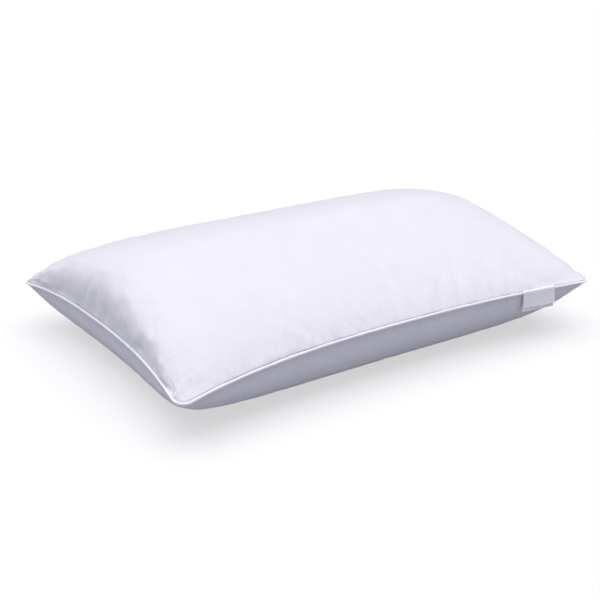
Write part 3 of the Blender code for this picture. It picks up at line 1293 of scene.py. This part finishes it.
@dataclass
class LabelStitches:
    """The row of machine stitches across the top of both label leaves."""

    place: LabelPlace
    radius: float
    count: int = 21
    thread_radius: float = 0.0002
    inset: float = 0.002

    def build(self) -> bpy.types.Object:
        """Builds the row."""
        pitch = (self.place.width - 2 * self.inset) / self.count
        turn = math.pi / 2 - self.inset / self.radius
        frames = []
        for i in range(self.count):
            along = (i + 0.5) * pitch - self.place.width / 2 + self.inset
            reach = self.radius + self.thread_radius
            centre = self.place.place(along, reach * math.cos(turn), reach * math.sin(turn))
            out = self.place.outward * math.cos(turn) + self.place.up * math.sin(turn)
            frames.append(frame_matrix(centre, self.place.along, out))
        self.piece = row_of_stitches(
            "label_stitches", model_stitch(pitch * 0.82, self.thread_radius), frames
        )
        return self.piece

    def dress(self) -> None:
        """Gives the stitches their thread and lets them move with the flap."""
        self.piece.data.materials.append(SEWING_THREAD.material())
        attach(self.piece, LABEL_BODY)
        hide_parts("label_thread")


@dataclass
class ClosingStitches:
    """Slanting hand stitches that close the filling opening, under the piping at +X."""

    seam: SeamLine
    stack: SeamStack
    length: float = 0.150
    pitch: float = 0.005
    thread_radius: float = 0.0002
    slant: float = 0.35

    def build(self) -> bpy.types.Object:
        """Builds the row."""
        count = round(self.length / self.pitch)
        half = self.length / 2 / (self.seam.width / 2)
        middle = (self.stack.piping_out - self.stack.roll_set_back) / 4
        depth = self.stack.fold_height + self.stack.roll_height * 0.75
        frames = []
        for i in range(count):
            v = half * (2 * (i + 0.5) / count - 1)
            centre = self.seam.point(np.array([1.0]), np.array([v]))[0]
            centre = centre + np.array([middle, 0, -depth])
            along = np.array([self.slant, 1.0, 0.0])
            frames.append(frame_matrix(centre, along, np.array([0.2, 0, -1.0])))
        self.piece = row_of_stitches(
            "closing_stitches", model_stitch(self.pitch * 0.75, self.thread_radius), frames
        )
        return self.piece

    def dress(self) -> None:
        """Gives the stitches their thread and their place in the frame."""
        self.piece.data.materials.append(SEWING_THREAD.material())
        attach(self.piece, PILLOW_BODY)
        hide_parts("closing_thread")


# ---------------------------------------------------------------------------------------------
# Studio
# ---------------------------------------------------------------------------------------------


@dataclass
class Studio:
    """Pale floor, soft light and the camera."""

    azimuth: float = math.radians(-34.14)
    elevation: float = math.radians(20.0)
    distance: float = 1.707
    aim_height: float = 0.087
    lens: float = 71.0
    shift: tuple[float, float] = (-0.0095, -0.0516)
    floor_size: float = 60.0
    floor_drop: float = 0.0002
    surround: float = 0.32
    surround_tint: tuple[float, float, float] = (0.80, 0.79, 1.0)
    overhead: float = 3.18
    softness: float = math.radians(80)
    lamp_place: tuple[float, float, float] = (0.0, 0.04, 1.0)
    floor_tone: float = 0.80
    floor_glow: float = 0.6
    bounce_tone: tuple[float, float, float] = (0.45, 0.45, 0.50)

    def build(self) -> None:
        """Builds the floor, the lights and the camera."""
        self._floor()
        self._light()
        self._camera()
        bpy.context.scene.view_settings.view_transform = "Standard"

    def _floor(self) -> None:
        """A plain matt floor, pale to the eye, that throws little light back up."""
        bpy.ops.mesh.primitive_plane_add(size=self.floor_size, location=(0, 0, -self.floor_drop))
        floor = bpy.context.object
        floor.name = "floor"
        nodes = Nodes("white floor")
        tone = self.floor_tone
        nodes.shader.inputs["Base Color"].default_value = (tone, tone, tone, 1)
        nodes.shader.inputs["Roughness"].default_value = 1.0
        nodes.shader.inputs["Specular IOR Level"].default_value = 0.0
        dim = nodes.add("ShaderNodeBsdfDiffuse")
        dim.inputs["Color"].default_value = (*self.bounce_tone, 1)
        glow = nodes.add("ShaderNodeEmission")
        pale = nodes.add("ShaderNodeMixShader")
        pale.inputs[0].default_value = self.floor_glow
        nodes.link(nodes.shader.outputs[0], pale.inputs[1])
        nodes.link(glow.outputs[0], pale.inputs[2])
        seen = nodes.add("ShaderNodeLightPath")
        choice = nodes.add("ShaderNodeMixShader")
        nodes.link(seen.outputs["Is Camera Ray"], choice.inputs[0])
        nodes.link(dim.outputs[0], choice.inputs[1])
        nodes.link(pale.outputs[0], choice.inputs[2])
        output = next(n for n in nodes.tree.nodes if n.bl_idname == "ShaderNodeOutputMaterial")
        nodes.link(choice.outputs[0], output.inputs[0])
        floor.data.materials.append(nodes.material)

    def _light(self) -> None:
        """Even surroundings and one broad soft light from above."""
        world = bpy.data.worlds.new("studio")
        world.use_nodes = True
        tree = world.node_tree
        background = tree.nodes["Background"]
        background.inputs["Color"].default_value = (*self.surround_tint, 1)
        background.inputs["Strength"].default_value = self.surround
        backdrop = tree.nodes.new("ShaderNodeBackground")
        seen = tree.nodes.new("ShaderNodeLightPath")
        choice = tree.nodes.new("ShaderNodeMixShader")
        tree.links.new(seen.outputs["Is Camera Ray"], choice.inputs[0])
        tree.links.new(background.outputs[0], choice.inputs[1])
        tree.links.new(backdrop.outputs[0], choice.inputs[2])
        tree.links.new(choice.outputs[0], tree.nodes["World Output"].inputs[0])
        bpy.context.scene.world = world
        lamp = bpy.data.lights.new("overhead", "SUN")
        lamp.energy = self.overhead
        lamp.angle = self.softness
        holder = bpy.data.objects.new("overhead", lamp)
        holder.location = self.lamp_place
        holder.rotation_euler = Vector(self.lamp_place).to_track_quat("Z", "Y").to_euler()
        bpy.context.scene.collection.objects.link(holder)

    def _camera(self) -> None:
        """The camera, low in front and to the left."""
        data = bpy.data.cameras.new("camera")
        data.lens = self.lens
        data.shift_x, data.shift_y = self.shift
        camera = bpy.data.objects.new("camera", data)
        level = math.cos(self.elevation)
        back = Vector(
            (
                math.sin(self.azimuth) * level,
                -math.cos(self.azimuth) * level,
                math.sin(self.elevation),
            )
        )
        camera.location = Vector((0, 0, self.aim_height)) + back * self.distance
        camera.rotation_euler = (-back).to_track_quat("-Z", "Y").to_euler()
        bpy.context.scene.collection.objects.link(camera)
        bpy.context.scene.camera = camera


def dress_hidden_parts() -> None:
    """Gives the parts inside the seam their cord and thread."""
    for node in ("seam_needle_thread", "seam_bobbin_thread", "edge_overlock_thread"):
        paint(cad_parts[node], HIDDEN_THREAD.material())
    paint(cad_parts["piping_cord"], COTTON_CORD.material())


def paint(piece: bpy.types.Object, material: bpy.types.Material) -> None:
    """Puts one material on a whole part."""
    piece.data.materials.clear()
    piece.data.materials.append(material)


def main() -> None:
    """Builds the pillow and the studio."""
    Studio().build()
    seam = SeamLine()
    stack = SeamStack()
    top = PanelCloth(Side.TOP, seam, stack, TOP_FULLNESS, peak=0.165)
    bottom = PanelCloth(Side.BOTTOM, seam, stack, UNDER_FULLNESS, peak=0.0, puckers=0.2,
                        gather_depth=0.0008)
    for cloth in (top, bottom):
        cloth.build()
    inflate([top, bottom], FRAMES)
    filling = Filling(top, bottom)
    place = LabelPlace(seam, stack)
    content_radius = stack.piping_radius + 0.0005
    care_radius = content_radius + 0.00025 + GAP
    groups = [
        filling,
        Panel(top, WHITE_PERCALE, "cover_top", "top_panel"),
        Panel(bottom, WHITE_PERCALE, "cover_bottom", "bottom_panel"),
        Piping(seam, stack),
        LabelLeaf("content_leaf", "content_label", place, CONTENT_TAPE, content_radius, 0.027,
                  tail_turn=math.radians(150), curl=0.0006),
        LabelLeaf("care_leaf", "care_label", place, CARE_TAPE, care_radius, 0.022,
                  tail_turn=math.radians(138), shift=0.0015, curl=0.0014),
        LabelStitches(place, care_radius + 0.00025),
        ClosingStitches(seam, stack),
    ]
    for group in groups:
        made = group.build()
        group.dress()
        LOG.info("%s: %d faces", made.name, len(made.data.polygons))
    for cloth in (top, bottom):
        bpy.data.objects.remove(cloth.piece)
    dress_hidden_parts()


if __name__ == "__main__":
    logging.basicConfig(level=logging.INFO)
    main()
